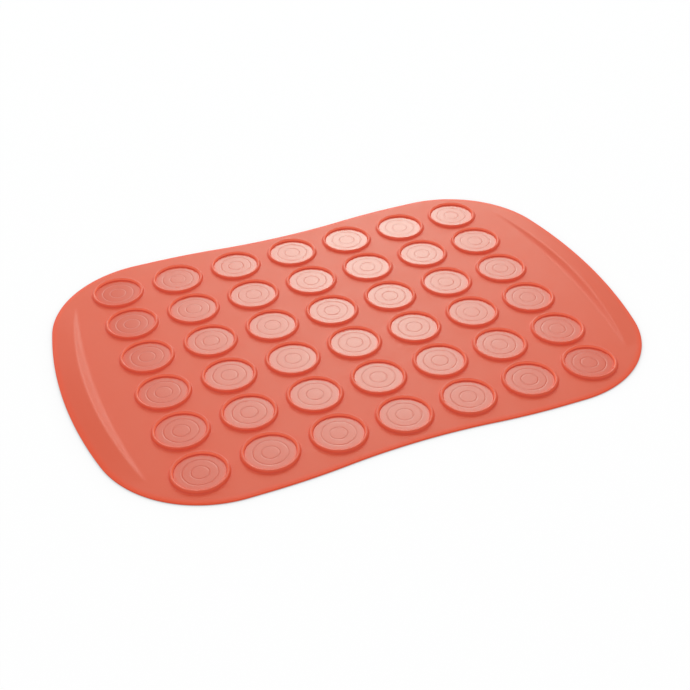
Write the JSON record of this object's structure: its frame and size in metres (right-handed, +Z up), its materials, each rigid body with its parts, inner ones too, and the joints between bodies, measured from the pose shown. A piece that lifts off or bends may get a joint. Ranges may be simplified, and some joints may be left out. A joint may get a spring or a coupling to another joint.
{
  "type": "macaron baking mat",
  "caption": "Flexible silicone mould: a thin sheet with raised rims around shallow round piping wells in a straight grid and a raised, bowed grip along each end",
  "frame": {"origin": "the middle of the mat's flat underside, halfway between the ends and between the long sides", "axes": "+X along the length of the mat, towards the right-hand grip; +Y across it, towards the back; +Z up, out of the wells"},
  "size_m": [0.4028, 0.2766, 0.0041],
  "materials": {
    "sheet": "coral silicone, matte between the wells and smooth on their floors",
    "rims": "the same coral silicone, satin, darker where it rises",
    "grips": "the same coral silicone, matte"
  },
  "bodies": {
    "root": {"base_sheet": "sheet", "grip_left": "grips", "grip_right": "grips", "rim_r1_c1": "rims", "rim_r1_c2": "rims", "rim_r1_c3": "rims", "rim_r1_c4": "rims", "rim_r1_c5": "rims", "rim_r1_c6": "rims", "rim_r1_c7": "rims", "rim_r2_c1": "rims", "rim_r2_c2": "rims", "rim_r2_c3": "rims", "rim_r2_c4": "rims", "rim_r2_c5": "rims", "rim_r2_c6": "rims", "rim_r2_c7": "rims", "rim_r3_c1": "rims", "rim_r3_c2": "rims", "rim_r3_c3": "rims", "rim_r3_c4": "rims", "rim_r3_c5": "rims", "rim_r3_c6": "rims", "rim_r3_c7": "rims", "rim_r4_c1": "rims", "rim_r4_c2": "rims", "rim_r4_c3": "rims", "rim_r4_c4": "rims", "rim_r4_c5": "rims", "rim_r4_c6": "rims", "rim_r4_c7": "rims", "rim_r5_c1": "rims", "rim_r5_c2": "rims", "rim_r5_c3": "rims", "rim_r5_c4": "rims", "rim_r5_c5": "rims", "rim_r5_c6": "rims", "rim_r5_c7": "rims", "rim_r6_c1": "rims", "rim_r6_c2": "rims", "rim_r6_c3": "rims", "rim_r6_c4": "rims", "rim_r6_c5": "rims", "rim_r6_c6": "rims", "rim_r6_c7": "rims"}
  },
  "joints": []
}
